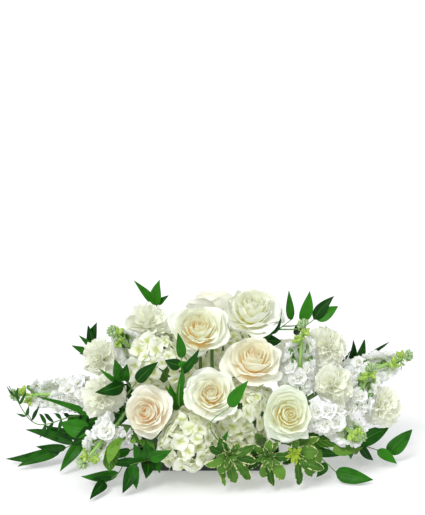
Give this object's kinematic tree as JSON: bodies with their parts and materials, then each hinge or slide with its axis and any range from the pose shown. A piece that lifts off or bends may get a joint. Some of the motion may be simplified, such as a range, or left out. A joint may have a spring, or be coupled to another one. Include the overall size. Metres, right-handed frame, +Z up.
{
  "type": "flower arrangement",
  "caption": "Low table centrepiece of white roses, hydrangea, stock and carnations with trailing greenery, standing in a block of floral foam in a low dish.",
  "frame": {"origin": "centre of the dish's flat base, on the table", "axes": "+X to the right along the arrangement's length, +Y to the back, +Z up; the front faces -Y"},
  "size_m": [0.7199, 0.3861, 0.3194],
  "materials": {
    "dish": "moulded, dark green",
    "foam": "wet open-cell foam",
    "tape": "smooth tape",
    "rose_petal": "velvety petals",
    "hydrangea_petal": "soft petals",
    "carnation": "soft petals on a green stem",
    "stock": "soft petals on a green stem",
    "stem": "smooth green stems",
    "ruscus": "glossy leaves",
    "pittosporum": "leaves with cream edges",
    "salal": "broad veined leaves",
    "fern": "fine leaflets"
  },
  "bodies": {
    "root": {"carnation_back_left": "carnation", "carnation_back_right": "carnation", "carnation_left_lower": "carnation", "carnation_left_top": "carnation", "carnation_left_upper": "carnation", "carnation_right_end": "carnation", "carnation_right_lower": "carnation", "carnation_right_upper": "carnation", "dish": "dish", "fern_left": "fern", "foam": "foam", "hydrangea_back_bloom": "hydrangea_petal", "hydrangea_back_stem": "stem", "hydrangea_front_bloom": "hydrangea_petal", "hydrangea_front_stem": "stem", "hydrangea_left_bloom": "hydrangea_petal", "hydrangea_left_stem": "stem", "hydrangea_middle_bloom": "hydrangea_petal", "hydrangea_middle_stem": "stem", "pittosporum_front": "pittosporum", "pittosporum_front_right": "pittosporum", "pittosporum_right": "pittosporum", "rose_back_bloom": "rose_petal", "rose_back_stem": "stem", "rose_centre_bloom": "rose_petal", "rose_centre_stem": "stem", "rose_crown_bloom": "rose_petal", "rose_crown_stem": "stem", "rose_inner_right_bloom": "rose_petal", "rose_inner_right_stem": "stem", "rose_lower_left_bloom": "rose_petal", "rose_lower_left_stem": "stem", "rose_lower_right_bloom": "rose_petal", "rose_lower_right_stem": "stem", "rose_top_bloom": "rose_petal", "rose_top_stem": "stem", "ruscus_back": "ruscus", "ruscus_centre": "ruscus", "ruscus_front_left": "ruscus", "ruscus_left": "ruscus", "ruscus_left_front": "ruscus", "ruscus_middle": "ruscus", "ruscus_right": "ruscus", "ruscus_top_left": "ruscus", "ruscus_top_right": "ruscus", "ruscus_trail_front_left": "ruscus", "ruscus_trail_front_right": "ruscus", "ruscus_trail_left": "ruscus", "ruscus_trail_right": "ruscus", "salal_back": "salal", "salal_left": "salal", "salal_right": "salal", "stock_left_end": "stock", "stock_left_lower": "stock", "stock_left_upper": "stock", "stock_right_end": "stock", "stock_right_lower": "stock", "stock_right_middle": "stock", "stock_right_upper": "stock", "tape": "tape"}
  },
  "joints": []
}
